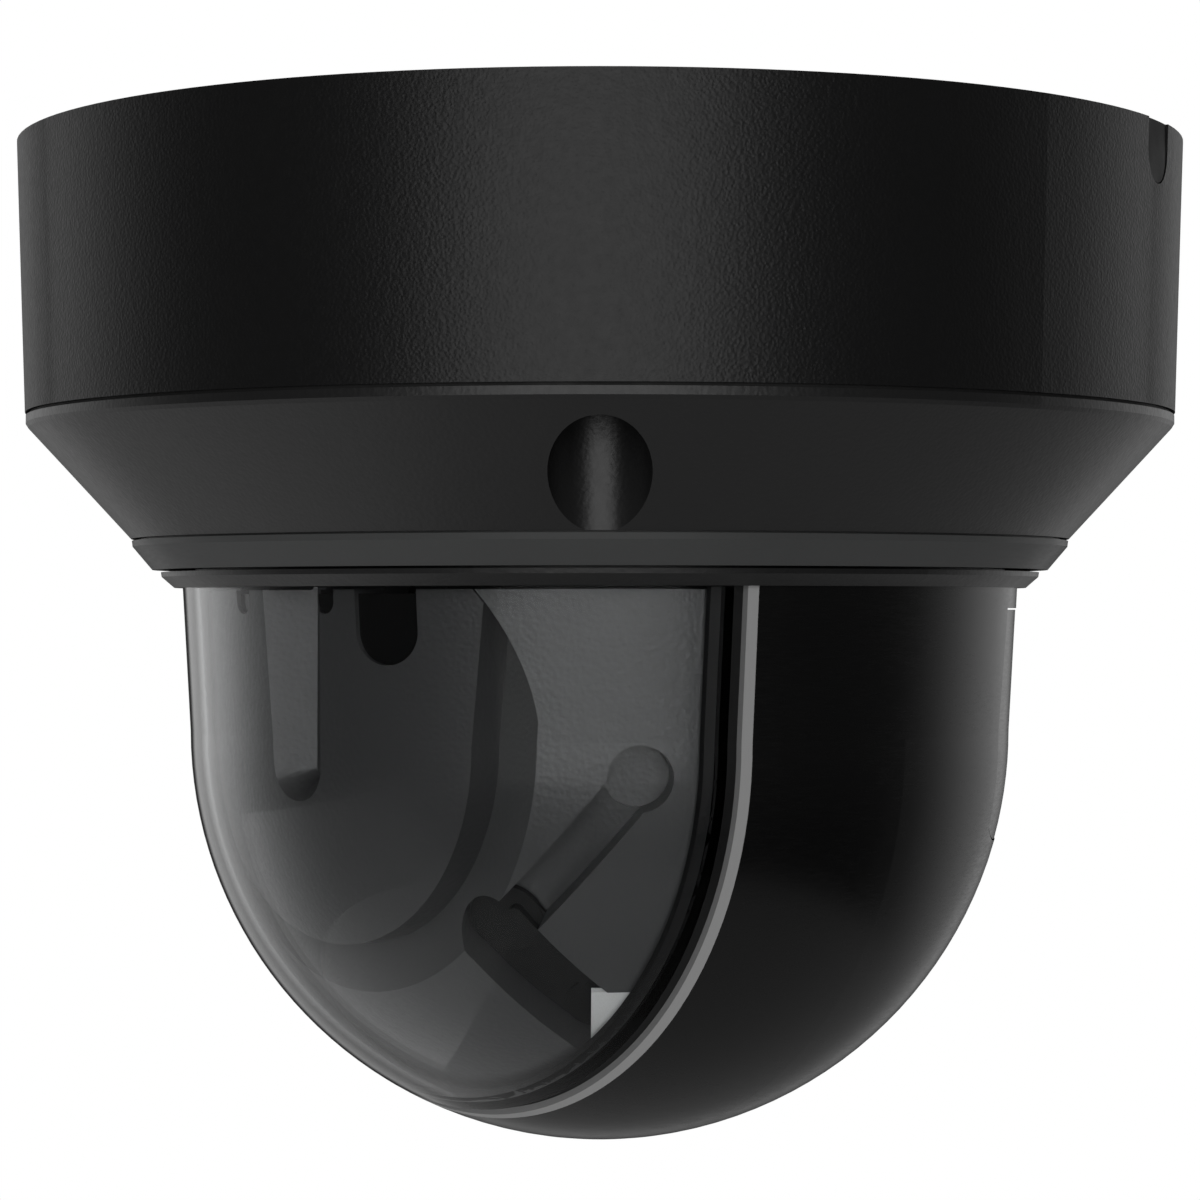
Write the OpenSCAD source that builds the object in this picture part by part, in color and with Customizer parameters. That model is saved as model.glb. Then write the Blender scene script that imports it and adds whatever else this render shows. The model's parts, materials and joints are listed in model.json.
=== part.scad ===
// Pan and tilt dome camera for a ceiling, 150 mm across. Millimetres.
// z = 0 is the ceiling face and the camera hangs below it. The clear window faces -Y.

/* [Base] */
// Radius of the base at the ceiling
base_r = 75; // [74.5:0.5:78]
// Radius of the base wall at its lower edge
base_low_r = 74; // [73.5:0.25:74.5]
// Thickness of the base wall
base_wall = 2.6; // [2.2:0.1:3]
// Depth of the base wall below the ceiling
base_h = 34.4; // [34:0.2:34.6]
// Width of the cable notch in the rim
notch_w = 8.2; // [6:0.2:10]
// Depth of the cable notch below the ceiling
notch_d = 7.7; // [6:0.1:8]
// Radius of the cable hole in the ceiling plate
cable_r = 10; // [6:0.5:11]
// Radius of the circle that the ceiling screw holes lie on
ceiling_pcd_r = 42; // [36:1:46]
// Radius of each ceiling screw hole
ceiling_hole_r = 2.5; // [2:0.1:3]

/* [Lower cover] */
// Radius of the circle that the three cover screws lie on
screw_pcd_r = 66.2; // [66:0.1:66.4]
// Radius of the wide part of each screw access hole
access_r = 5.9; // [5.5:0.1:6.2]
// Radius of the narrow part of each screw access hole
access_narrow_r = 3.8; // [3.5:0.1:3.9]
// Thickness of the conical wall, measured along the radius
cone_wall = 3.0; // [2.6:0.1:3.2]

/* [Turret] */
// Outside radius of the dome sphere
dome_r = 53; // [52.8:0.1:53.2]
// Draft of the dome wall between the sphere and the flange
dome_draft = 1; // [0.8:0.1:1.1]
// Thickness of the clear window and the black shell
dome_wall = 2.1; // [1.8:0.1:2.2]
// Height of the sphere centre below the ceiling
dome_drop = 74.9; // [74.5:0.1:75.3]
// Distance from the pan axis to the front edge of the black shell
shell_front = 21.5; // [20:0.5:22]
// Distance from the pan axis to the back edge of the clear window
window_back = 24.3; // [24.3:0.1:25]
// Distance from the pan axis to the seam of the rear cover
rear_seam = 24; // [22:0.5:28]

/* [Camera module] */
// Radius of the tilting camera body
ball_r = 49.7; // [49.3:0.1:49.8]
// Thickness of the camera body's walls
ball_wall = 2.2; // [1.8:0.1:2.6]
// Half width of the camera body between its flat ends
ball_half = 44; // [43:0.5:44]
// Radius of the round recess behind the front shield
disc_r = 31; // [29:0.5:32]
// Distance from the pan axis to the floor of that recess
disc_y = 39.1; // [38.5:0.1:40]
// Half width of the front shield
shield_half = 24.2; // [22:0.2:25]
// Radius of the lens opening
lens_open_r = 9.2; // [8:0.2:9.6]

/* [Gears] */
// Tooth size of the pan gears
pan_module = 0.8; // [0.8:0.1:0.8]
// Number of teeth on the pan ring
pan_teeth = 140; // [140:1:140]
// Number of teeth on the pan pinion
pan_pinion_teeth = 14; // [14:1:14]
// Tooth size of the tilt gears
tilt_module = 0.6; // [0.6:0.1:0.6]
// Number of teeth on the fixed tilt gear
tilt_teeth = 30; // [30:1:30]
// Number of teeth on the tilt pinion
tilt_pinion_teeth = 12; // [12:1:12]

/* [Hidden] */
$fn = 96;
bite = 0.01;
far = 200;
// Directions round the pan axis, in degrees from the front
screw_az = [46.5, 166.5, 286.5];
notch_az = 111.5;
plate_screw_az = [91.5, 211.5, 331.5];
board_screw_az = [15, 135, 195, 315];
motor_az = 226.5;
// Heights in the base
web_top = -8.8;
web_low = -10.8;
plate_t = 2;
collar_t = 3.4;
plate_screw_r = 56;
board_top = -13.4;
board_low = -14.8;
board_screw_r = 44;
grommet_r = 30;
seat_z = -31;
seat_t = 1.6;
step_z = -36.6;
band_top = -base_h - 0.4;
cone_top = -36.3;
cone_low = -50.4;
cone_low_r = 60.6;
sleeve_r = 54.4;
sleeve_t = 2;
sleeve_top = -38;
// Pan drive
pan_centre = pan_module * (pan_teeth + pan_pinion_teeth) / 2;
gear_top = -32.3;
gear_low = -36.3;
motor_r = 7.8;
motor_low = -29;
motor_top = -13;
mplate_t = 1.6;
mscrew_off = 12.4;
// Turret
lip_top = -54.65;
lip_low = -56.65;
cup_in = 51;
cup_out = 52.4;
cap_low = -20.6;
cap_top = -18.8;
cap_screw_r = 48.3;
cap_screw_az = [45, 135, 225, 315];
sweep_gap = 0.8;
wire_hole_r = 7;
ring_r = 5;
neck_h = dome_drop + lip_low;
arm_in = 46.5;
arm_out = 48.5;
arm_half = 10;
arm_disc = 12.5;
foot_in = 38;
foot_t = 2.2;
foot_y = 5.6;
foot_x = 42;
tilt_centre = tilt_module * (tilt_teeth + tilt_pinion_teeth) / 2;
tgear_in = 44.5;
pin_r = 3.5;
bush_r = 4.75;
// Camera module
upper_z = 17.9;
dent_k = [39.0, -30.6, -4.2];
dent_a = [22.6, -38.0, -23.0];
dent_b = [26.1, -24.3, -34.2];
dent_floor = 45.2;
dent_w = 9.4;
label_y = [-1.4, 7.4];
label_z = [-6.4, 6.2];
label_floor = 48.9;
groove_floor = 45.9;
groove_z = -3.5;
groove_flat = 0.8;
bezel_lip = 25.4;
lens_top = -18;
sensor_z = -15;
rear_flat = 40;
led_x = 15;
led_y = 5;
shield_posts = [[-16, -12], [16, -12], [-17, 6], [17, 6]];
shell_lug_az = [150, 210];
bezel_lug_az = [-70, 70];

// A child placed at radius r in direction a round the pan axis
module at(a, r) {
  rotate([0, 0, a])
    translate([0, -r, 0])
      children();
}

// A cylinder between two heights
module rod(r, z0, z1) {
  translate([0, 0, z0])
    cylinder(r = r, h = z1 - z0);
}

// A tube between two heights
module tube(ro, ri, z0, z1) {
  difference() {
    rod(ro, z0, z1);
    rod(ri, z0 - 1, z1 + 1);
  }
}

// A box from corner to corner
module block(a, b) {
  translate(a)
    cube(b - a);
}

// A cylinder along X between two stations
module rod_x(r, x0, x1) {
  translate([x0, 0, 0])
    rotate([0, 90, 0])
      cylinder(r = r, h = x1 - x0);
}

// A screw that points up: head below z0, shank above it
module screw(z0, head_r, head_h, r, len) {
  difference() {
    rod(head_r, z0 - head_h, z0);
    translate([0, 0, z0 - head_h - bite])
      cylinder(r = head_r * 0.5, h = head_h * 0.55, $fn = 6);
  }
  rod(r, z0 - bite, z0 + len);
}

// A screw that points down: head above z0, shank below it
module screw_down(z0, head_r, head_h, r, len) {
  mirror([0, 0, 1])
    screw(-z0, head_r, head_h, r, len);
}

// Involute helpers, in degrees
function inv(a) = tan(a) * 180 / PI - a;
function tooth_half(r, rp, n, pa, slack) =
  90 / n - slack / rp * 180 / PI + inv(pa) - (r > rp * cos(pa) ? inv(acos(rp * cos(pa) / r)) : 0);
function spoke(r, a) = [r * cos(a), r * sin(a)];

// Outline of a spur gear with a tooth centred on -Y
module gear2d(m, n, steps, slack) {
  rp = m * n / 2;
  r0 = rp - 1.2 * m;
  r1 = rp + 0.95 * m;
  rotate(-90)
    polygon([for (i = [0:n - 1], side = [-1, 1], k = [0:steps])
      let (s = side < 0 ? k / steps : 1 - k / steps, r = r0 + (r1 - r0) * s)
      spoke(r, i * 360 / n + side * tooth_half(r, rp, n, 25, slack))]);
}

// The dome's outside form, made smaller all round by d, centred on the sphere
module dome_form(d, h = neck_h) {
  cylinder(r1 = dome_r - d, r2 = dome_r - d + dome_draft * h / neck_h, h = h);
  intersection() {
    sphere(r = dome_r - d, $fn = 128);
    rod(far, -far, bite);
  }
}

// The space between two planes that face front, y0 < y1
module slab(y0, y1) {
  block([-far, y0, -far], [far, y1, far]);
}

// ---------------------------------------------------------------- base

module mounting_plate() {
  color([0.72, 0.73, 0.75])
  difference() {
    union() {
      rod(70.4, -plate_t, 0);
      tube(70.4, 69, -4.5, -plate_t);
      rod(cable_r + 2.4, -collar_t, 0);
      for (a = plate_screw_az)
        at(a, plate_screw_r)
          rod(4, web_top, 0);
    }
    rod(cable_r, -7, 1);
    for (a = plate_screw_az)
      at(a, plate_screw_r)
        rod(1.55, web_top - 1, -1.2);
    for (a = [45:90:315])
      at(a, ceiling_pcd_r)
        rod(ceiling_hole_r, -3, 1);
    for (a = [0:90:270])
      at(a, 46) {
        rod(5, -3, 1);
        block([-20, -2.2, -3], [20, 2.2, 1]);
      }
    at(notch_az, 68)
      block([-9, -8, -5], [9, 8, -plate_t - bite]);
  }
}

module notch_shape(w, d) {
  translate([0, 0, -d + w / 2])
    rotate([90, 0, 0])
      cylinder(r = w / 2, h = 14, center = true);
  translate([-w / 2, -7, -d + w / 2])
    cube([w, 14, d]);
}

module base_housing() {
  inside = base_r - base_wall;
  color([0.2, 0.2, 0.21])
  difference() {
    union() {
      rotate_extrude($fn = 180)
        polygon([[base_r, 0], [base_low_r, -base_h], [base_low_r - base_wall, -base_h],
          [inside - 0.4, web_low], [8.6, web_low], [8.6, web_top],
          [inside - 0.2, web_top], [inside, 0]]);
      rod(9, web_low, web_top);
      for (a = [16.5:60:316.5])
        rotate([0, 0, a])
          block([-0.8, -72.6, web_top - bite], [0.8, -44, -7]);
      intersection() {
        union() {
          for (a = screw_az)
            at(a, screw_pcd_r)
              rod(5, seat_z, web_low + bite);
          at(motor_az, pan_centre) {
            rod(motor_r + 1.9, motor_low, web_low + bite);
            for (s = [-1, 1])
              translate([s * mscrew_off, 0, 0])
                rod(2.8, motor_low, web_low + bite);
          }
        }
        rod(inside - 0.1, -40, 0);
      }
      for (a = board_screw_az)
        at(a, board_screw_r)
          rod(3, board_top, web_low + bite);
    }
    rod(cup_out + sweep_gap, -40, cap_top + 1.4);
    for (a = screw_az)
      at(a, screw_pcd_r)
        rod(1.55, seat_z - 1, -16);
    at(motor_az, pan_centre) {
      rod(motor_r + 0.05, motor_low - 1, web_low - 0.6);
      for (s = [-1, 1])
        translate([s * mscrew_off, 0, 0])
          rod(1.05, motor_low - 1, -21);
    }
    for (a = plate_screw_az)
      at(a, plate_screw_r)
        rod(1.7, web_low - 1, web_top + 1);
    for (a = board_screw_az)
      at(a, board_screw_r)
        rod(1.05, board_top - 1, web_top - 0.8);
    at(180, grommet_r)
      rod(7, web_low - 1, web_top + 1);
    at(notch_az, base_r)
      notch_shape(notch_w, notch_d);
  }
}

module notch_cover() {
  color([0.1, 0.1, 0.1])
  union() {
    intersection() {
      at(notch_az, base_r)
        notch_shape(notch_w - 0.3, notch_d - 0.15);
      tube(base_r - 0.3, 71.5, -notch_d - 1, -0.05);
    }
    intersection() {
      at(notch_az, base_r)
        notch_shape(notch_w + 2.4, notch_d + 0.6);
      tube(72.2, 70.8, -notch_d - 1, -0.3);
    }
  }
}

module cable_grommet() {
  color([0.08, 0.08, 0.08])
  at(180, grommet_r)
  difference() {
    union() {
      rod(6.95, web_low, web_top);
      rod(9, web_top, web_top + 1.2);
      rod(8.4, web_low - 1.2, web_low);
    }
    rod(3, web_low - 3, web_top + 3);
  }
}

module plate_screws() {
  color([0.7, 0.7, 0.72])
  for (a = plate_screw_az)
    at(a, plate_screw_r)
      screw(web_low, 3, 2, 1.5, 8.6);
}

module main_board() {
  color([0.05, 0.3, 0.15])
  difference() {
    rod(59, board_low, board_top);
    rod(12.6, board_low - 1, board_top + 1);
    at(motor_az, pan_centre) {
      rod(motor_r + 2.6, board_low - 1, board_top + 1);
      block([-16, -20, board_low - 1], [16, 3.6, board_top + 1]);
    }
    for (a = board_screw_az)
      at(a, board_screw_r)
        rod(1.1, board_low - 1, board_top + 1);
    at(180, grommet_r)
      rod(4, board_low - 1, board_top + 1);
  }
}

module board_screws() {
  color([0.7, 0.7, 0.72])
  for (a = board_screw_az)
    at(a, board_screw_r)
      screw(board_low, 2, 1.2, 1, 4.4);
}

module board_chips() {
  color([0.06, 0.06, 0.07]) {
    block([-30, -26, board_low - 1.6], [-14, -10, board_low]);
    block([-26, 4, board_low - 1.2], [-15, 12, board_low]);
    block([15, -24, board_low - 1.4], [27, -12, board_low]);
    block([18, 6, board_low - 1.8], [34, 16, board_low]);
    block([-8, -38, board_low - 1.2], [6, -28, board_low]);
    for (x = [-40, -46])
      translate([x, -12, 0])
        rod(2.4, board_low - 1.8, board_low);
  }
}

module wire_header() {
  color([0.9, 0.88, 0.8])
  difference() {
    block([-8, -59, board_low - 6], [8, -54.2, board_low]);
    for (x = [-6:2:6])
      block([x - 0.6, -57.6, board_low - 7], [x + 0.6, -55.6, board_low - 2]);
  }
}

module slip_ring_stator() {
  color([0.15, 0.15, 0.17])
  difference() {
    union() {
      rod(12, web_low - 1.8, web_low);
      rod(9.5, cap_top + 1.6, web_low - 1.8 + bite);
    }
    rod(ring_r + 0.06, cap_top, web_low - 0.4);
  }
}

module cover_gasket() {
  color([0.06, 0.06, 0.06])
    tube(73.4, 71.6, band_top, -base_h);
}

// The cover's outside, closed at the bottom
module cover_form() {
  rotate_extrude($fn = 180)
    polygon([[0, band_top], [73.9, band_top], [73.9, cone_top + 0.5], [73.6, cone_top],
      [cone_low_r, cone_low], [0, cone_low]]);
}

module lower_cover() {
  in_r = cone_low_r - 0.6;
  top_r = 71.3;
  drop = (cone_top - cone_low) / (73.6 - cone_low_r);
  wall_z = cone_low + (top_r + cone_wall - cone_low_r) * drop;
  floor_z = cone_low + (in_r + cone_wall - cone_low_r) * drop;
  color([0.19, 0.19, 0.2])
  difference() {
    union() {
      rotate_extrude($fn = 180)
        polygon([[73.9, band_top], [73.9, cone_top + 0.5], [73.6, cone_top],
          [cone_low_r, cone_low], [sleeve_r, cone_low], [sleeve_r, sleeve_top],
          [sleeve_r + sleeve_t, sleeve_top], [sleeve_r + sleeve_t, floor_z],
          [in_r, floor_z], [top_r, min(wall_z, band_top)], [top_r, band_top]]);
      intersection() {
        cover_form();
        for (a = screw_az)
          at(a, screw_pcd_r)
            rod(access_r + 1.5, -60, band_top - 0.4);
      }
      for (a = screw_az)
        at(a, screw_pcd_r)
          rod(4.8, band_top - 1, seat_z);
    }
    for (a = screw_az)
      at(a, screw_pcd_r) {
        rod(access_r, -60, step_z);
        rod(access_narrow_r, -60, seat_z - seat_t);
        rod(1.7, -60, seat_z + 1);
      }
    for (a = [0:60:300])
      at(a, 58.2)
        rod(1.05, -60, floor_z + 1);
  }
}

module cover_screws() {
  color([0.75, 0.75, 0.77])
  for (a = screw_az)
    at(a, screw_pcd_r)
      screw(seat_z - seat_t, 3, 2.2, 1.5, 14);
}

module pan_bearing() {
  color([0.92, 0.92, 0.88])
  rotate_extrude()
    polygon([[cup_out + 0.1, -50], [sleeve_r - 0.05, -50], [sleeve_r - 0.05, sleeve_top],
      [56.4, sleeve_top], [56.4, sleeve_top + 1.3], [cup_out + 0.1, sleeve_top + 1.3]]);
}

module trim_ring() {
  color([0.35, 0.35, 0.36]) {
    rotate_extrude($fn = 180)
      polygon([[60.5, -50.65], [60.4, -51.4], [57.9, lip_top + 0.3], [53.6, lip_top + 0.3],
        [53.6, -51.6], [55, cone_low], [59.5, cone_low], [59.5, -50.65]]);
    for (a = [0:60:300])
      at(a, 58.2)
        rod(1, cone_low - bite, cone_low + 3.6);
  }
}

module pan_motor() {
  color([0.78, 0.78, 0.8])
  at(motor_az, pan_centre)
  difference() {
    union() {
      rod(motor_r, motor_low, motor_top);
      rod(2.6, motor_low - 1.2, motor_low);
    }
    rod(1.05, motor_low - 2, -20);
  }
}

module motor_plate() {
  color([0.75, 0.76, 0.78])
  at(motor_az, pan_centre)
  difference() {
    union() {
      rod(motor_r, motor_low - mplate_t, motor_low);
      block([-mscrew_off, -2.8, motor_low - mplate_t], [mscrew_off, 2.8, motor_low]);
      for (s = [-1, 1])
        translate([s * mscrew_off, 0, 0])
          rod(2.8, motor_low - mplate_t, motor_low);
    }
    rod(2.65, motor_low - 3, motor_low + 1);
    for (s = [-1, 1])
      translate([s * mscrew_off, 0, 0])
        rod(1.1, motor_low - 3, motor_low + 1);
  }
}

module motor_screws() {
  color([0.7, 0.7, 0.72])
  at(motor_az, pan_centre)
  for (s = [-1, 1])
    translate([s * mscrew_off, 0, 0])
      screw(motor_low - mplate_t, 2, 1.2, 1, 7);
}

module pan_pinion() {
  color([0.9, 0.88, 0.8])
  at(motor_az, pan_centre) {
    translate([0, 0, gear_low + 0.3])
      linear_extrude(gear_top - gear_low - 0.6)
        rotate(180 + 180 / pan_pinion_teeth)
          gear2d(pan_module, pan_pinion_teeth, 4, 0.08);
    rod(1, gear_low + 0.3, -21);
  }
}

// ---------------------------------------------------------------- turret

module turret_flange() {
  color([0.17, 0.17, 0.18])
  difference() {
    union() {
      rotate_extrude($fn = 180)
        polygon([[56.8, lip_top], [56.7, lip_top - 0.6], [55.1, lip_low], [cup_in, lip_low],
          [cup_in, cap_low], [cup_out, cap_low], [cup_out, gear_top + 0.8],
          [cup_out + 1.2, gear_top + 0.8], [cup_out + 1.2, gear_top],
          [cup_out, gear_top], [cup_out, lip_top]]);
      intersection() {
        for (a = cap_screw_az)
          at(a, cap_screw_r)
            rod(3, cap_low - 8, cap_low);
        rod(cup_in + 0.2, -40, 0);
      }
    }
    for (a = cap_screw_az)
      at(a, cap_screw_r)
        rod(1.05, cap_low - 7, 0);
    for (a = concat(shell_lug_az, bezel_lug_az))
      at(a, cup_in)
        block([-2.1, -0.9, -54.2], [2.1, 1, -52.4]);
  }
}

module pan_gear() {
  color([0.9, 0.9, 0.86])
  difference() {
    translate([0, 0, gear_low])
      linear_extrude(gear_top - gear_low)
        rotate(motor_az)
          gear2d(pan_module, pan_teeth, 1, 0.08);
    rod(cup_out + 0.03, gear_low - 1, gear_top + 1);
  }
}

module turret_cap() {
  color([0.7, 0.71, 0.73])
  difference() {
    rod(cup_out, cap_low, cap_top);
    rod(2.6, cap_low - 1, cap_top + 1);
    for (a = cap_screw_az)
      at(a, cap_screw_r) {
        rod(1.2, cap_low - 1, cap_top + 1);
        rod(2.1, cap_top - 1, cap_top + 1);
      }
    for (x = [-foot_x, foot_x], y = [-foot_y, foot_y])
      translate([x, y, 0]) {
        rod(1.2, cap_low - 1, cap_top + 1);
        rod(2.1, cap_top - 1, cap_top + 1);
      }
    for (a = [20, 160, 200, 340])
      at(a, 26)
        rod(wire_hole_r, cap_low - 1, cap_top + 1);
  }
}

module cap_screws() {
  color([0.7, 0.7, 0.72])
  for (a = cap_screw_az)
    at(a, cap_screw_r)
      screw_down(cap_top - 1, 2, 0.9, 1, 6.4);
}

module slip_ring_rotor() {
  color([0.8, 0.68, 0.35])
  difference() {
    union() {
      rod(8, cap_top, cap_top + 1);
      rod(ring_r, cap_top + 1 - bite, web_low - 1);
    }
    rod(2.4, cap_top - 1, web_low + 1);
  }
}

module yoke_arm() {
  color([0.16, 0.16, 0.17])
  difference() {
    union() {
      block([arm_in, -arm_half, -dome_drop], [arm_out, arm_half, cap_low]);
      translate([0, 0, -dome_drop])
        rod_x(arm_disc, arm_in, arm_out);
      block([foot_in, -arm_half, cap_low - foot_t], [arm_out, arm_half, cap_low]);
      for (y = [-arm_half, arm_half - 1.4])
        block([44.6, y, cap_low - 12], [arm_in + bite, y + 1.4, cap_low]);
    }
    translate([0, 0, -dome_drop])
      rod_x(bush_r + 0.03, arm_in - 1, arm_out + 1);
    for (a = [30:120:270])
      translate([0, 0, -dome_drop])
        rotate([a, 0, 0])
          translate([0, 6.6, 0])
            rod_x(0.85, arm_in - 1, arm_out + 1);
    for (y = [-foot_y, foot_y])
      translate([foot_x, y, 0])
        rod(1.05, cap_low - 4, cap_low + 1);
    block([arm_in - 1, -4, -58], [arm_out + 1, 4, -32]);
  }
}

module yoke_arm_geared() {
  yoke_arm();
}

module yoke_arm_plain() {
  mirror([1, 0, 0])
    yoke_arm();
}

module yoke_screws() {
  color([0.7, 0.7, 0.72])
  for (x = [-foot_x, foot_x], y = [-foot_y, foot_y])
    translate([x, y, 0])
      screw_down(cap_top - 1, 2, 0.9, 1, 3);
}

module tilt_gear() {
  color([0.9, 0.9, 0.86])
  translate([0, 0, -dome_drop]) {
    difference() {
      translate([tgear_in, 0, 0])
        rotate([90, 0, 90])
          linear_extrude(arm_in - tgear_in)
            rotate(90)
              gear2d(tilt_module, tilt_teeth, 3, 0.06);
      rod_x(bush_r + 0.03, arm_in - 4, arm_in + 1);
    }
    for (a = [30:120:270])
      rotate([a, 0, 0])
        translate([0, 6.6, 0])
          rod_x(0.8, arm_in - bite, arm_out - 0.3);
  }
}

module tilt_bushes() {
  color([0.8, 0.6, 0.3])
  translate([0, 0, -dome_drop])
  for (m = [0, 1])
    mirror([m, 0, 0])
      difference() {
        union() {
          rod_x(bush_r, tgear_in, arm_out);
          rod_x(6, arm_out, arm_out + 0.6);
        }
        rod_x(pin_r + 0.05, tgear_in - 1, arm_out + 2);
      }
}

// Area of the rear cover, seen from behind and made smaller by d
module rear_area(d) {
  translate([0, rear_seam + d, 0])
    rotate([-90, 0, 0])
      linear_extrude(60)
        union() {
          translate([-47.3 + d, -neck_h + 2.6 + d])
            square([94.6 - 2 * d, neck_h - 2.6 + 8 - d]);
          translate([-41.3 + d, 0])
            square([82.6 - 2 * d, 14 - d]);
          for (s = [-1, 1])
            translate([s * (41.3 - d), 8 - d])
              circle(r = 6);
        }
}

module dome_shell() {
  color([0.07, 0.07, 0.07])
  translate([0, 0, -dome_drop])
  difference() {
    union() {
      difference() {
        dome_form(0);
        dome_form(dome_wall);
      }
      for (a = shell_lug_az)
        snap_lug(a, cup_in + 1.2);
    }
    slab(-far, -shell_front);
    intersection() {
      rear_area(0);
      difference() {
        dome_form(-2);
        dome_form(1.1);
      }
    }
    intersection() {
      rear_area(3.4);
      dome_form(-2);
    }
    for (s = [-1, 1])
      rotate([0, 0, 180 + s * 40])
        translate([0, 0, -12.2])
          rotate([90, 0, 0])
            cylinder(r = 0.85, h = far);
  }
}

// A hook that holds a dome piece in the cup, at azimuth a, with its foot out to radius ro
module snap_lug(a, ro) {
  intersection() {
    at(a, 0)
      block([-3.2, -60, neck_h - 1.4], [3.2, -48.4, neck_h + 4.6]);
    union() {
      rod(ro, neck_h - 1.4, neck_h);
      rod(cup_in - 0.25, neck_h - bite, neck_h + 4.6);
    }
  }
  intersection() {
    at(a, 0)
      block([-2, -60, neck_h + 2.6], [2, -49, neck_h + 4.1]);
    rod(cup_in + 0.7, 0, neck_h + 5);
  }
}

module window_bezel() {
  color([0.25, 0.25, 0.26])
  translate([0, 0, -dome_drop]) {
    difference() {
      union() {
        intersection() {
          dome_form(0);
          slab(-shell_front - 1.25, -shell_front);
        }
        intersection() {
          dome_form(0.7);
          slab(-window_back + 0.2, -shell_front - 1.2);
        }
      }
      dome_form(dome_wall + 0.1);
    }
    difference() {
      intersection() {
        dome_form(dome_wall);
        slab(-bezel_lip, -shell_front + 2);
      }
      dome_form(dome_wall + 0.6);
    }
    for (a = bezel_lug_az)
      snap_lug(a, cup_in + 0.7);
  }
}

module dome_window() {
  color([0.85, 0.88, 0.9, 0.35])
  translate([0, 0, -dome_drop])
  difference() {
    intersection() {
      dome_form(0);
      slab(-far, -window_back);
    }
    dome_form(dome_wall);
  }
}

module rear_cover() {
  color([0.07, 0.07, 0.07])
  translate([0, 0, -dome_drop])
  difference() {
    union() {
      intersection() {
        rear_area(0.2);
        difference() {
          dome_form(0.1);
          dome_form(1.05);
        }
      }
      intersection() {
        rear_area(3.6);
        difference() {
          dome_form(0.5);
          dome_form(dome_wall);
        }
      }
    }
    for (s = [-1, 1])
      rotate([0, 0, 180 + s * 40])
        translate([0, 0, -12.2])
          rotate([90, 0, 0])
            cylinder(r = 0.95, h = far);
  }
}

module rear_cover_screws() {
  color([0.6, 0.6, 0.62])
  translate([0, 0, -dome_drop])
  for (s = [-1, 1])
    rotate([0, 0, 180 + s * 40])
      translate([0, -dome_r + 1.9, -12.2])
        rotate([90, 0, 0])
          difference() {
            cylinder(r = 0.8, h = 1.0);
            translate([0, 0, 0.6])
              cylinder(r = 0.4, h = 1, $fn = 6);
          }
}

// ---------------------------------------------------------------- camera module

// The tilting body's outside, made smaller all round by d
module module_form(d) {
  intersection() {
    union() {
      intersection() {
        dome_form(dome_r - ball_r + d);
        rod(far, -far, upper_z - d);
        slab(-far, -22 - d);
      }
      sphere(r = ball_r - d, $fn = 128);
    }
    block([-ball_half + d, -far, -far], [ball_half - d, rear_flat - d, far]);
  }
}

// A cut that follows the sphere from direction a to direction b
module sweep(a, b, w, r0, r1) {
  u = a / norm(a);
  n = cross(u, b / norm(b));
  t = n / norm(n);
  v = cross(t, u);
  th = asin(norm(n));
  rotate([atan2(v[2], t[2]), -asin(u[2]), atan2(u[1], u[0])]) {
    rotate_extrude(angle = th)
      translate([r0, -w / 2])
        square([r1 - r0, w]);
    for (g = [0, th])
      rotate([0, 0, g])
        rod_x(w / 2 + 0.07, r0 - 0.15, r1 + 0.1);
  }
}

// Turns X towards direction u
module aim(u) {
  rotate([0, -asin(u[2] / norm(u)), atan2(u[1], u[0])])
    children();
}

// The keyhole and its channel, wider by w and reaching down to radius r0
module dent(w, r0, r1) {
  sweep(dent_k, dent_a, 5.6 + w, r0, r1);
  sweep(dent_a, dent_b, dent_w + w, r0 - 0.3, r1 + 0.3);
  aim(dent_k)
    rod_x(3.9 + w / 2, r0 - 0.7, r1 + 0.6);
}

// The label's patch of the body, wider by d, down to radius r0
module label_patch(d, r0) {
  difference() {
    aim(dent_b)
      block([40, label_y[0] - d, label_z[0] - d], [60, label_y[1] + d, label_z[1] + d]);
    sphere(r = r0, $fn = 128);
  }
}

module module_cut() {
  rod(lens_open_r, -far, -30);
}

// Two holes for the infrared lamps, at station y
module led_cuts(y) {
  for (s = [-1, 1])
    translate([s * led_x, y, 0])
      rod(2.6, -far, -40);
}

module module_front_shell() {
  color([0.72, 0.72, 0.72])
  translate([0, 0, -dome_drop])
  difference() {
    intersection() {
      module_form(0);
      union() {
        difference() {
          slab(-far, 0);
          module_form(ball_wall);
        }
        dent(3.2, dent_floor - 1.6, 60);
        intersection() {
          slab(-far, -disc_y + 2.2);
          rotate([90, 0, 0])
            cylinder(r = disc_r + 2, h = far);
        }
      }
    }
    translate([0, -disc_y, 0])
      rotate([90, 0, 0])
        cylinder(r = disc_r, h = far);
    dent(0, dent_floor, 60);
    label_patch(0.05, label_floor);
    module_cut();
    rod_x(6.1, 40, 50);
    rod_x(6.1, -50, -40);
    for (q = shield_posts)
      translate([q[0], -disc_y + 4, q[1]])
        rotate([90, 0, 0])
          cylinder(r = 0.9, h = 8);
    led_cuts(-led_y);
    translate([0, tilt_centre, 0])
      rod_x(1.4, 40, 50);
  }
}

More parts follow.
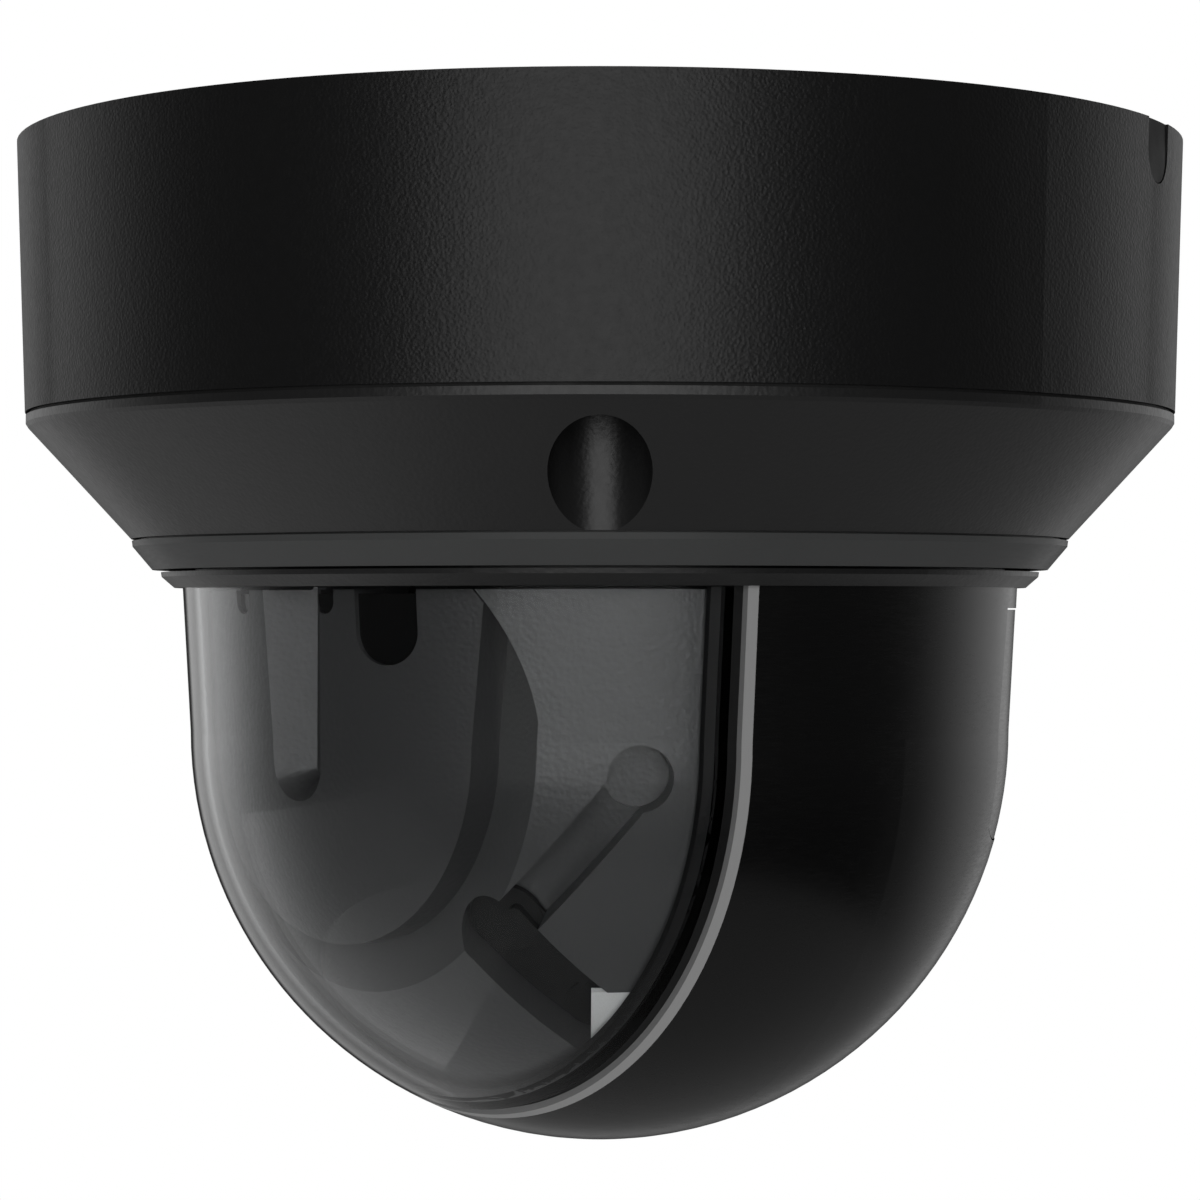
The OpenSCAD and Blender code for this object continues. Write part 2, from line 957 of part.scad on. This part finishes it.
module module_rear_shell() {
  color([0.68, 0.68, 0.68])
  translate([0, 0, -dome_drop])
  difference() {
    module_form(0);
    module_form(ball_wall);
    slab(-far, 0);
    module_cut();
    rod_x(6.1, 40, 50);
    rod_x(6.1, -50, -40);
    translate([0, tilt_centre, 0])
      rod_x(1.4, 40, 50);
    block([-14, rear_flat - 4, -1.2], [4, rear_flat + 4, 1.2]);
    translate([14, rear_flat - 4, 0])
      rotate([-90, 0, 0])
        cylinder(r = 2.1, h = 8);
    led_cuts(led_y);
    translate([0, 12, 30])
      rod(5, 0, 30);
    for (x = [-14:7:14])
      block([x - 1, rear_flat - 4, 14], [x + 1, rear_flat + 4, 24]);
  }
}

// The shield's outline seen from the front, made smaller by d
module shield_area(d) {
  rotate([90, 0, 0])
    linear_extrude(far)
      union() {
        translate([0, -0.6])
          circle(r = shield_half - d);
        polygon([[-shield_half + d, -0.6], [shield_half - d, -0.6],
          [shield_half + 2.1 - d, 17.5], [shield_half + 1 - d, 25 - d],
          [-shield_half - 1 + d, 25 - d], [-shield_half - 2.1 + d, 17.5]]);
      }
}

// A slot that runs up the shield, open at the top
module shield_slot(x, w, low) {
  translate([x, -30, low + w / 2])
    rotate([90, 0, 0])
      cylinder(r = w / 2, h = 40);
  block([x - w / 2, -70, low + w / 2], [x + w / 2, -30, 21.5]);
}

// The body's front before it is cut, made smaller all round by d
module front_form(d, top) {
  intersection() {
    dome_form(dome_r - ball_r + d);
    rod(far, -far, top);
  }
  sphere(r = ball_r - d, $fn = 128);
}

// The three slots in the shield, narrower by d
module shield_slots(d) {
  shield_slot(14.65, 8.1 - d, 8.9 + d / 2);
  shield_slot(-10.05, 3.3 - d, 15 + d / 2);
  shield_slot(5.95, 2.9 - d, 15 + d / 2);
}

// A V-shaped groove up the shield, rounded at its lower end
module shield_groove() {
  translate([0, -groove_floor, groove_z]) {
    rotate([90, 0, 0])
      cylinder(r1 = groove_flat, r2 = groove_flat + 7, h = 7);
    linear_extrude(40)
      polygon([[-groove_flat, 0], [groove_flat, 0], [groove_flat + 7, -7], [-groove_flat - 7, -7]]);
  }
}

module shield_windows() {
  color([0.05, 0.05, 0.05])
  translate([0, 0, -dome_drop])
  intersection() {
    shield_slots(0.1);
    rod(far, -far, upper_z - 0.5);
    difference() {
      front_form(0.5, upper_z);
      front_form(2, far);
    }
  }
}

module front_shield() {
  color([0.6, 0.6, 0.6])
  translate([0, 0, -dome_drop]) {
    difference() {
      intersection() {
        union()
          front_form(0, upper_z);
        shield_area(0);
        slab(-far, -disc_y);
        rotate([90, 0, 0])
          cylinder(r = disc_r - 0.2, h = far);
      }
      difference() {
        intersection() {
          union()
            front_form(3.4, upper_z - 2.4);
          shield_area(2.4);
        }
        block([-4.2, -far, groove_z - 6], [4.2, far, far]);
      }
      shield_groove();
      shield_slots(0);
    }
    for (q = shield_posts)
      translate([q[0], -disc_y, q[1]])
        rotate([90, 0, 0])
          difference() {
            cylinder(r = 1.8, h = 4.9);
            translate([0, 0, -1])
              cylinder(r = 0.75, h = 4);
          }
  }
}

module dent_insert() {
  color([0.08, 0.08, 0.08])
  translate([0, 0, -dome_drop]) {
    sweep(dent_a, dent_b, dent_w - 0.6, dent_floor - 0.2, dent_floor + 0.3);
    sweep([23.6, -36.6, -21.2], [27.5, -27.5, -31.3], 1.6, dent_floor, dent_floor + 1.5);
  }
}

module label_plate() {
  color([0.9, 0.9, 0.9])
  translate([0, 0, -dome_drop])
  intersection() {
    label_patch(0, label_floor + 0.05);
    sphere(r = ball_r - 0.1, $fn = 128);
  }
}

module lens_barrel() {
  color([0.1, 0.1, 0.1])
  translate([0, 0, -dome_drop])
  difference() {
    union() {
      rod(8, -45, -30);
      rod(9.4, -34, -24);
      rod(7, -24, lens_top);
    }
    rod(6.2, -46, -32);
    rod(4.4, -33, -23);
    rod(5.4, -24.5, -17);
  }
}

module lens_ring() {
  color([0.12, 0.12, 0.12])
  translate([0, 0, -dome_drop])
  intersection() {
    difference() {
      rod(lens_open_r - 0.1, -far, -45);
      rod(7, -far, -40);
    }
    sphere(r = ball_r, $fn = 128);
  }
}

module lens_glass() {
  color([0.2, 0.22, 0.3])
  translate([0, 0, -dome_drop])
  intersection() {
    rod(6.15, -far, -44);
    translate([0, 0, -32])
      sphere(r = 15);
  }
}

module sensor_board() {
  color([0.05, 0.3, 0.15])
  translate([0, 0, -dome_drop])
  difference() {
    block([-16, -13, sensor_z - 3 + 1.5], [16, 13, sensor_z]);
    for (x = [-13, 13], y = [-10, 10])
      translate([x, y, 0])
        rod(1.1, -30, 0);
  }
}

module image_sensor() {
  color([0.1, 0.1, 0.14])
  translate([0, 0, -dome_drop])
    block([-4.4, -3.6, lens_top], [4.4, 3.6, sensor_z - 1.5]);
}

module heat_sink() {
  color([0.75, 0.76, 0.78])
  translate([0, 0, -dome_drop]) {
    block([-15, -12, sensor_z], [15, 12, sensor_z + 1.6]);
    for (x = [-15, -10.2, -5.4, -0.6, 4.2, 9, 13.8])
      block([x, -12, sensor_z + 1.6 - bite], [x + 1.2, 4, sensor_z + 8]);
  }
}

module ir_leds() {
  color([0.5, 0.45, 0.5])
  translate([0, 0, -dome_drop])
  for (s = [-1, 1], f = [-led_y, led_y])
    translate([s * led_x, f, 0]) {
      rod(2.4, -46.2, -43);
      rod(2.9, -43, -42);
    }
}

module memory_card() {
  color([0.1, 0.1, 0.35])
  translate([0, 0, -dome_drop])
    block([-12.5, 26, -0.4], [2.5, rear_flat - 1, 0.4]);
}

module reset_button() {
  color([0.75, 0.2, 0.15])
  translate([14, rear_flat - 4.5, -dome_drop])
    rotate([-90, 0, 0])
      cylinder(r = 1.9, h = 4);
}

module tilt_motor() {
  color([0.78, 0.78, 0.8])
  translate([0, tilt_centre, -dome_drop])
  difference() {
    rod_x(7, 24, ball_half - ball_wall);
    rod_x(1.05, 30, 50);
  }
}

module module_screws() {
  color([0.7, 0.7, 0.72])
  translate([0, 0, -dome_drop])
  for (q = shield_posts)
    translate([q[0], -disc_y + 2.2, q[1]])
      rotate([90, 0, 0]) {
        cylinder(r = 0.7, h = 4.6);
        translate([0, 0, -1.2])
          cylinder(r = 1.9, h = 1.2);
      }
}

module tilt_pinion() {
  color([0.9, 0.88, 0.8])
  translate([0, tilt_centre, -dome_drop]) {
    translate([tgear_in + 0.1, 0, 0])
      rotate([90, 0, 90])
        linear_extrude(arm_in - tgear_in - 0.4)
          rotate(180 / tilt_pinion_teeth)
            gear2d(tilt_module, tilt_pinion_teeth, 4, 0.06);
    rod_x(1, 32, arm_in - 0.3);
  }
}

mounting_plate();
base_housing();
notch_cover();
cable_grommet();
plate_screws();
main_board();
board_screws();
board_chips();
wire_header();
slip_ring_stator();
cover_gasket();
lower_cover();
cover_screws();
pan_bearing();
trim_ring();
pan_motor();
motor_plate();
motor_screws();
pan_pinion();
turret_flange();
pan_gear();
turret_cap();
cap_screws();
slip_ring_rotor();
yoke_arm_plain();
yoke_arm_geared();
yoke_screws();
tilt_gear();
tilt_bushes();
dome_shell();
window_bezel();
dome_window();
rear_cover();
rear_cover_screws();
module_front_shell();
module_rear_shell();
front_shield();
shield_windows();
dent_insert();
label_plate();
lens_barrel();
lens_ring();
lens_glass();
sensor_board();
image_sensor();
heat_sink();
ir_leds();
memory_card();
reset_button();
tilt_motor();
module_screws();
tilt_pinion();
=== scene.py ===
import bpy
import json
import math
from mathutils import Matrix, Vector

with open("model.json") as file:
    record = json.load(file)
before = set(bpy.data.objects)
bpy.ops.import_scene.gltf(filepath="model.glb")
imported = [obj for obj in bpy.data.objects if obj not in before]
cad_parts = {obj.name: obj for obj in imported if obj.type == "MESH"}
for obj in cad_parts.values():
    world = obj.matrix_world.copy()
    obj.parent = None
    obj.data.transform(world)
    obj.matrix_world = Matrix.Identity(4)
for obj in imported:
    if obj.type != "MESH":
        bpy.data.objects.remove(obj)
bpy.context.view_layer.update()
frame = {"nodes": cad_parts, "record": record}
nodes = frame["nodes"]

# ---------------------------------------------------------------- materials

PLASTIC_IOR = 1.45
ACRYLIC_IOR = 1.49
LENS_IOR = 1.52
# Fresnel values between which a face changes from face-on to silhouette
SHEEN_SPAN = (0.035, 0.2)
# Fresnel values over which the clear parts' colour darkens towards the rim: painted shade
PAINTED_RIM_SHADE_SPAN = (0.16, 0.3)
# The part of the noise range that carries most of its values
NOISE_SPAN = (0.3, 0.7)
# Local Y (m) where the bezel's grey outer strip meets its black rim
BEZEL_STRIP_Y = (-0.02277, -0.02273)


def shade(c, k):
    return tuple(v * k for v in c)


class Look:
    """A node tree with a Principled shader and short calls that add to it."""

    def __init__(self, name, **sockets):
        self.mat = bpy.data.materials.new(name)
        self.mat.use_nodes = True
        self.tree = self.mat.node_tree
        self.shader = self.tree.nodes["Principled BSDF"]
        self.out = self.tree.nodes["Material Output"]
        for key, value in sockets.items():
            self.shader.inputs[key.replace("_", " ")].default_value = value
        self.place = self.add("ShaderNodeTexCoord").outputs["Object"]

    def add(self, kind, **values):
        n = self.tree.nodes.new(kind)
        for key, value in values.items():
            setattr(n, key, value)
        return n

    def link(self, a, b):
        self.tree.links.new(a, b)

    def mapped(self, stretch):
        if stretch is None:
            return self.place
        m = self.add("ShaderNodeMapping")
        m.inputs["Scale"].default_value = stretch
        self.link(self.place, m.inputs["Vector"])
        return m.outputs["Vector"]

    def noise(self, scale, detail=3.0, rough=0.55, stretch=None):
        n = self.add("ShaderNodeTexNoise")
        n.inputs["Scale"].default_value = scale
        n.inputs["Detail"].default_value = detail
        n.inputs["Roughness"].default_value = rough
        self.link(self.mapped(stretch), n.inputs["Vector"])
        return n.outputs["Fac"]

    def pebbles(self, scale, smooth):
        n = self.add("ShaderNodeTexVoronoi", feature="SMOOTH_F1")
        n.inputs["Scale"].default_value = scale
        n.inputs["Smoothness"].default_value = smooth
        self.link(self.place, n.inputs["Vector"])
        return n.outputs["Distance"]

    def fresnel(self, ior):
        n = self.add("ShaderNodeFresnel")
        n.inputs["IOR"].default_value = ior
        return n.outputs["Fac"]

    def spread(self, value, span, to_low, to_high):
        """Value mapped from span to the given two ends, held at the ends."""
        n = self.add("ShaderNodeMapRange")
        for key, number in zip(("From Min", "From Max", "To Min", "To Max"), (*span, to_low, to_high)):
            n.inputs[key].default_value = number
        self.link(value, n.inputs["Value"])
        return n.outputs["Result"]

    def math(self, how, a, b):
        n = self.add("ShaderNodeMath", operation=how)
        for socket, v in zip(n.inputs, (a, b)):
            if isinstance(v, float):
                socket.default_value = v
            else:
                self.link(v, socket)
        return n.outputs[0]

    def plus(self, a, b, part=1.0):
        return self.math("ADD", a, b if part == 1.0 else self.times(b, part))

    def times(self, a, b):
        return self.math("MULTIPLY", a, b)

    def colours(self, factor, a, b):
        """Base colour that runs from a to b."""
        n = self.add("ShaderNodeMix", data_type="RGBA")
        self.link(factor, n.inputs["Factor"])
        n.inputs["A"].default_value = (*a, 1)
        n.inputs["B"].default_value = (*b, 1)
        self.link(n.outputs["Result"], self.shader.inputs["Base Color"])

    def rough(self, socket):
        self.link(socket, self.shader.inputs["Roughness"])

    def bump(self, height, distance):
        n = self.add("ShaderNodeBump")
        n.inputs["Strength"].default_value = 1.0
        n.inputs["Distance"].default_value = distance
        self.link(height, n.inputs["Height"])
        self.link(n.outputs["Normal"], self.shader.inputs["Normal"])

    def edge_sheen(self, face, edge):
        """Specular level that changes from face-on to the silhouette."""
        level = self.spread(self.fresnel(PLASTIC_IOR), SHEEN_SPAN, face, edge)
        self.link(level, self.shader.inputs["Specular IOR Level"])


def grained(name, colour, rough, depth, scale=1750.0, vary=0.12, sheen=(0.5, 0.3)):
    """Moulded plastic with a fine leather grain."""
    m = Look(name)
    m.edge_sheen(*sheen)
    big = m.noise(38.0, 4.0)
    fine = m.noise(scale * 1.35, 2.0, 0.6)
    m.colours(m.spread(m.plus(big, fine, 0.35), (0.35, 1.0), 0.0, 1.0),
              shade(colour, 1 - vary), shade(colour, 1 + vary))
    m.rough(m.spread(m.noise(900.0), NOISE_SPAN, rough - 0.02, rough + 0.03))
    m.bump(m.plus(m.pebbles(scale, 0.55), fine, 0.75), depth)
    return m.mat


def smooth_plastic(name, colour, rough, depth=0.000006, sheen=(0.5, 0.4)):
    """Moulded plastic with a satin or glossy face: faint flow marks, dust and hairlines."""
    vary = 0.1
    m = Look(name)
    m.edge_sheen(*sheen)
    big = m.noise(30.0, 4.0)
    hair = m.noise(420.0, 3.0, 0.6, (1.0, 1.0, 9.0))
    dust = m.noise(2600.0, 2.0, 0.5)
    m.colours(m.spread(m.plus(big, dust, 0.25), (0.35, 0.95), 0.0, 1.0),
              shade(colour, 1 - vary), shade(colour, 1 + vary))
    m.rough(m.spread(m.times(hair, big), (0.15, 0.4), rough - 0.04, rough + 0.06))
    m.bump(m.plus(hair, dust, 0.5), depth)
    return m.mat


def bezel(name):
    """Two-shot moulding: a grey outer strip and a black rim that holds the window."""
    m = Look(name)
    m.edge_sheen(0.35, 0.1)
    axes = m.add("ShaderNodeSeparateXYZ")
    m.link(m.place, axes.inputs["Vector"])
    speck = m.noise(1500.0)
    m.colours(m.spread(axes.outputs["Y"], BEZEL_STRIP_Y, 0.0, 1.0),
              (0.006, 0.006, 0.0062), (0.5, 0.5, 0.5))
    m.rough(m.spread(speck, NOISE_SPAN, 0.3, 0.4))
    m.bump(speck, 0.000005)
    return m.mat


def metal(name, colour, rough, brushed=(1.0, 1.0, 14.0)):
    """Bare metal with brushed or turned marks."""
    vary = 0.08
    m = Look(name, Metallic=1.0)
    marks = m.noise(700.0, 4.0, 0.65, brushed)
    stain = m.noise(60.0, 4.0)
    m.colours(m.spread(stain, NOISE_SPAN, 0.0, 1.0), shade(colour, 1 - vary), shade(colour, 1 + vary))
    m.rough(m.spread(m.times(marks, stain), (0.12, 0.4), rough - 0.06, rough + 0.1))
    m.bump(marks, 0.000008)
    return m.mat


def rubber(name, colour):
    """Matt rubber with settled dust."""
    m = Look(name, Specular_IOR_Level=0.35)
    dust = m.noise(900.0, 4.0, 0.6)
    m.colours(m.spread(dust, (0.3, 0.75), 0.0, 1.0), colour, shade(colour, 1.5))
    m.rough(m.spread(m.noise(120.0), NOISE_SPAN, 0.62, 0.78))
    m.bump(dust, 0.00002)
    return m.mat


def clear(name, tint, ior, rough):
    """Clear plastic or glass with an anti-glare face, its colour darkened towards the rim as painted
    shade.

    Lamps reach what is behind it.
    """
    glare = 0.05
    shadow = 0.92
    m = Look(name, Transmission_Weight=1.0, IOR=ior, Specular_Tint=(glare, glare, glare, 1))
    haze = m.noise(90.0, 4.0)
    # Painted shade: the colour darkens towards the rim, where the view grazes the surface
    rim = m.spread(m.fresnel(ior), PAINTED_RIM_SHADE_SPAN, 0.0, 1.0)
    m.colours(m.plus(rim, haze, 0.03), tint, shade(tint, 0.12))
    m.rough(m.spread(haze, (0.35, 0.8), rough * 0.4, rough * 1.8))
    m.bump(m.noise(26.0, 1.0), 0.0000015)
    path = m.add("ShaderNodeLightPath")
    see = m.add("ShaderNodeBsdfTransparent")
    see.inputs["Color"].default_value = (*shade(tint, shadow), 1)
    both = m.add("ShaderNodeMixShader")
    m.link(path.outputs["Is Shadow Ray"], both.inputs["Fac"])
    m.link(m.shader.outputs["BSDF"], both.inputs[1])
    m.link(see.outputs["BSDF"], both.inputs[2])
    m.link(both.outputs["Shader"], m.out.inputs["Surface"])
    return m.mat


def board(name):
    """Solder mask with traces under it."""
    m = Look(name, Specular_IOR_Level=0.5, Coat_Weight=0.4, Coat_Roughness=0.15)
    lines = m.add("ShaderNodeTexBrick")
    lines.inputs["Scale"].default_value = 220.0
    lines.inputs["Mortar Size"].default_value = 0.012
    m.link(m.place, lines.inputs["Vector"])
    m.colours(lines.outputs["Fac"], (0.006, 0.055, 0.028), (0.02, 0.13, 0.06))
    m.rough(m.spread(m.noise(300.0), NOISE_SPAN, 0.3, 0.42))
    m.bump(lines.outputs["Fac"], 0.00001)
    return m.mat


looks = {
    "base_plastic": grained("base_grain", (0.007, 0.007, 0.0072), 0.36, 0.00003, 2300.0,
                            sheen=(0.36, 0.05)),
    "ring_plastic": smooth_plastic("ring_gloss", (0.095, 0.097, 0.097), 0.34, sheen=(0.12, 0.05)),
    "flange_plastic": grained("flange_grain", (0.012, 0.012, 0.0122), 0.36, 0.00002,
                              sheen=(0.54, 0.55)),
    "shell_plastic": smooth_plastic("shell_gloss", (0.0028, 0.0028, 0.0029), 0.25, 0.000002,
                                    sheen=(0.4, 0.25)),
    "bezel_plastic": bezel("bezel_two_shot"),
    "window_clear": clear("window_acrylic", (0.93, 0.94, 0.945), ACRYLIC_IOR, 0.012),
    "rubber_black": rubber("black_rubber", (0.012, 0.012, 0.012)),
    "module_plastic": grained("module_grain", (0.06, 0.06, 0.0605), 0.33, 0.00003, 1500.0, 0.06,
                              (0.6, 0.5)),
    "shield_plastic": grained("shield_grain", (0.04, 0.04, 0.0405), 0.35, 0.00003, 1500.0, 0.06,
                              (0.6, 0.5)),
    "window_black": smooth_plastic("window_black", (0.0025, 0.0025, 0.0025), 0.2, 0.000002,
                                   sheen=(0.3, 0.3)),
    "insert_white": smooth_plastic("insert_white", (0.82, 0.82, 0.81), 0.35),
    "board_green": board("board_mask"),
    "chip_black": smooth_plastic("chip_epoxy", (0.012, 0.012, 0.013), 0.5, 0.00002),
    "connector_cream": smooth_plastic("connector_nylon", (0.72, 0.68, 0.56), 0.45),
    "screw_steel": metal("screw_steel", (0.58, 0.58, 0.57), 0.3),
    "plate_steel": metal("plate_zinc", (0.6, 0.61, 0.62), 0.4, (1.0, 12.0, 1.0)),
    "motor_steel": metal("motor_can", (0.62, 0.62, 0.62), 0.3),
    "gear_acetal": smooth_plastic("gear_acetal", (0.78, 0.77, 0.7), 0.4, 0.00001),
    "frame_plastic": grained("frame_nylon", (0.02, 0.02, 0.021), 0.5, 0.00003),
    "cap_aluminium": metal("cap_aluminium", (0.74, 0.75, 0.76), 0.35, (14.0, 1.0, 1.0)),
    "brass": metal("turned_brass", (0.72, 0.5, 0.2), 0.25),
    "lens_glass": clear("coated_glass", (0.75, 0.8, 0.95), LENS_IOR, 0.006),
    "led_resin": smooth_plastic("led_resin", (0.2, 0.14, 0.2), 0.15),
    "card_blue": smooth_plastic("card_blue", (0.02, 0.025, 0.11), 0.35),
    "button_red": smooth_plastic("button_red", (0.45, 0.03, 0.025), 0.35),
}
node_looks = {s["node"]: looks[s["material_slot"]] for s in frame["record"]["subparts"]}
# The cover is a smoother moulding than the housing above it; its colour is painted lighter than the
# housing's same plastic, as painted light for what its downward-facing cone catches from below
node_looks["lower_cover"] = grained("cover_grain_painted_lighter", (0.012, 0.012, 0.0122), 0.36, 0.00002,
                                    sheen=(0.52, 0.45))
for name, ob in nodes.items():
    ob.data.materials.clear()
    ob.data.materials.append(node_looks[name])

# ---------------------------------------------------------------- studio

CAMERA_AZ = math.radians(46.5)
CAMERA_R = 0.4656
CAMERA_Z = -0.05937
CAMERA_LENS = 107.2
CAMERA_SHIFT = 0.00757
FACING = Vector((math.sin(CAMERA_AZ), -math.cos(CAMERA_AZ), 0))
LAMP_AIM = Vector((0, 0, -0.06))
FLOOR_RADIUS = 1.15
FLOOR_Z = -0.9
# Brightness of the floor: to the camera, and as light on the object
FLOOR_SEEN = 0.75
FLOOR_GLOW = 0.14
WHITE = (1, 1, 1, 1)


def into_scene(ob):
    bpy.context.scene.collection.objects.link(ob)
    return ob


def floor_look(name):
    """A pale floor that the camera sees bright and that lights the object only a little."""
    m = Look(name, Roughness=0.8)
    m.colours(m.spread(m.noise(2.0), NOISE_SPAN, 0.0, 1.0), (0.3, 0.3, 0.3), (0.31, 0.31, 0.31))
    path = m.add("ShaderNodeLightPath")
    m.shader.inputs["Emission Color"].default_value = WHITE
    strength = m.spread(path.outputs["Is Camera Ray"], (0.0, 1.0), FLOOR_GLOW, FLOOR_SEEN)
    m.link(strength, m.shader.inputs["Emission Strength"])
    return m.mat


def disc(name, radius, z, mat):
    steps = 96
    turns = [2 * math.pi * i / steps for i in range(steps)]
    verts = [(radius * math.cos(t), radius * math.sin(t), z) for t in turns]
    me = bpy.data.meshes.new(name)
    me.from_pydata(verts, [], [tuple(range(steps))])
    me.materials.append(mat)
    into_scene(bpy.data.objects.new(name, me))


def softbox(name, azimuth, elevation, distance, size, power):
    """Area lamp aimed at the object; azimuth is from -Y, in degrees."""
    a, e = math.radians(azimuth), math.radians(elevation)
    lamp = bpy.data.lights.new(name, "AREA")
    lamp.shape = "RECTANGLE"
    lamp.size, lamp.size_y = size
    lamp.energy = power
    ob = into_scene(bpy.data.objects.new(name, lamp))
    way = Vector((math.sin(a) * math.cos(e), -math.cos(a) * math.cos(e), math.sin(e)))
    ob.location = LAMP_AIM + way * distance
    ob.rotation_mode = "QUATERNION"
    ob.rotation_quaternion = way.to_track_quat("Z", "Y")


def surround():
    """White to the camera; as light, dim in front of the object and bright behind it."""
    world = bpy.data.worlds.new("studio")
    world.use_nodes = True
    tree = world.node_tree
    link = tree.links.new

    def ranged(value, span, ends, smooth=True):
        n = tree.nodes.new("ShaderNodeMapRange")
        if smooth:
            n.interpolation_type = "SMOOTHSTEP"
        for key, number in zip(("From Min", "From Max", "To Min", "To Max"), (*span, *ends)):
            n.inputs[key].default_value = number
        link(value, n.inputs["Value"])
        return n.outputs["Result"]

    def product(a, b):
        n = tree.nodes.new("ShaderNodeMath")
        n.operation = "MULTIPLY"
        link(a, n.inputs[0])
        link(b, n.inputs[1])
        return n.outputs[0]

    way = tree.nodes.new("ShaderNodeTexCoord").outputs["Generated"]
    behind = tree.nodes.new("ShaderNodeVectorMath")
    behind.operation = "DOT_PRODUCT"
    behind.inputs[1].default_value = -FACING
    link(way, behind.inputs[0])
    axes = tree.nodes.new("ShaderNodeSeparateXYZ")
    link(way, axes.inputs["Vector"])

    rise = ranged(behind.outputs["Value"], (-0.05, 0.68), (0.08, 0.78))
    far_back = ranged(behind.outputs["Value"], (0.91, 0.96), (1.0, 0.06))
    below = ranged(axes.outputs["Z"], (-0.5, 0.0), (0.35, 1.0), smooth=False)
    light = tree.nodes["Background"]
    light.inputs["Color"].default_value = WHITE
    link(product(product(rise, far_back), below), light.inputs["Strength"])

    seen = tree.nodes.new("ShaderNodeBackground")
    seen.inputs["Color"].default_value = WHITE
    path = tree.nodes.new("ShaderNodeLightPath")
    both = tree.nodes.new("ShaderNodeMixShader")
    link(path.outputs["Is Camera Ray"], both.inputs["Fac"])
    link(light.outputs[0], both.inputs[1])
    link(seen.outputs[0], both.inputs[2])
    link(both.outputs[0], tree.nodes["World Output"].inputs["Surface"])
    return world


disc("floor", FLOOR_RADIUS, FLOOR_Z, floor_look("floor_pale"))
softbox("key", 44.5, 3, 1.15, (1.1, 0.7), 4.3)
softbox("low_left", -42, -46, 0.85, (1.2, 1.0), 0.9)
bpy.context.scene.world = surround()
bpy.context.scene.view_settings.view_transform = "Standard"

lens = bpy.data.cameras.new("camera")
lens.sensor_width = 36.0
lens.lens = CAMERA_LENS
lens.shift_y = CAMERA_SHIFT
lens.clip_start = 0.01
camera = into_scene(bpy.data.objects.new("camera", lens))
camera.location = FACING * CAMERA_R + Vector((0, 0, CAMERA_Z))
camera.rotation_mode = "QUATERNION"
camera.rotation_quaternion = (-FACING).to_track_quat("-Z", "Y")
bpy.context.scene.camera = camera
